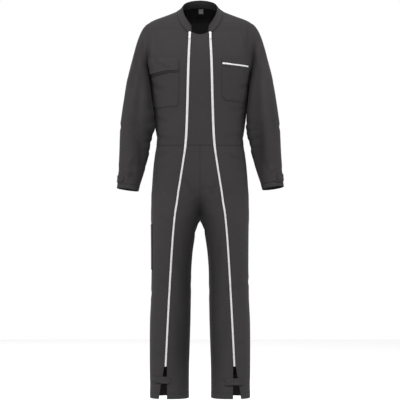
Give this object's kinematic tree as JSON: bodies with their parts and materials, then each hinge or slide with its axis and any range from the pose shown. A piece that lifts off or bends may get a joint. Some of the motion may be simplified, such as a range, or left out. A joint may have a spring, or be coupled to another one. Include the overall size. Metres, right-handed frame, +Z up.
{
  "type": "boiler suit",
  "caption": "Charcoal work overall in one piece, filled out as worn, with a stand collar, two white full-length front zips, chest pockets, a tool pocket and straps at cuffs and hems.",
  "frame": {"origin": "midway between the two side neck points, where the wearer's shoulders carry the suit", "axes": "+Z up the body, -Y out of the chest towards the viewer of the front, +X to the wearer's left"},
  "size_m": [0.6825, 0.2736, 1.6345],
  "materials": {
    "cloth": "smooth matt twill",
    "zip": "satin",
    "label": "woven satin"
  },
  "bodies": {
    "suit": {"bib": "cloth", "back_upper": "cloth", "collar": "cloth", "neck_label": "label", "chest_right": "cloth", "chest_left": "cloth", "leg_inner_right": "cloth", "leg_inner_left": "cloth", "leg_outer_right": "cloth", "leg_outer_left": "cloth", "leg_back_right": "cloth", "leg_back_left": "cloth", "sleeve_right": "cloth", "sleeve_left": "cloth", "zip_right": "zip", "zip_left": "zip", "leg_tab_right": "cloth", "leg_tab_left": "cloth", "cuff_tab_right": "cloth", "cuff_tab_left": "cloth", "slider_right": "zip", "slider_left": "zip", "slider_pocket": "zip", "pocket_right": "cloth", "pocket_flap": "cloth", "pocket_left": "cloth", "pocket_zip": "zip", "tool_pocket": "cloth"},
    "tab_right": {"pull_right": "zip"},
    "tab_left": {"pull_left": "zip"},
    "tab_pocket": {"pull_pocket": "zip"}
  },
  "joints": [
    {"name": "lift_pull_right", "type": "hinge", "parent": "suit", "child": "tab_right", "pos_m": [-0.0415, -0.09781, -0.08994], "axis": [-0.9985, 0.0496, 0.0222], "range_deg": [0, 150]},
    {"name": "lift_pull_left", "type": "hinge", "parent": "suit", "child": "tab_left", "pos_m": [0.0415, -0.09781, -0.08994], "axis": [-0.9985, -0.0496, -0.0222], "range_deg": [0, 150]},
    {"name": "lift_pull_pocket", "type": "hinge", "parent": "suit", "child": "tab_pocket", "pos_m": [0.0994, -0.13304, -0.21679], "axis": [-0.0626, -0.1093, -0.992], "range_deg": [0, 150]}
  ]
}
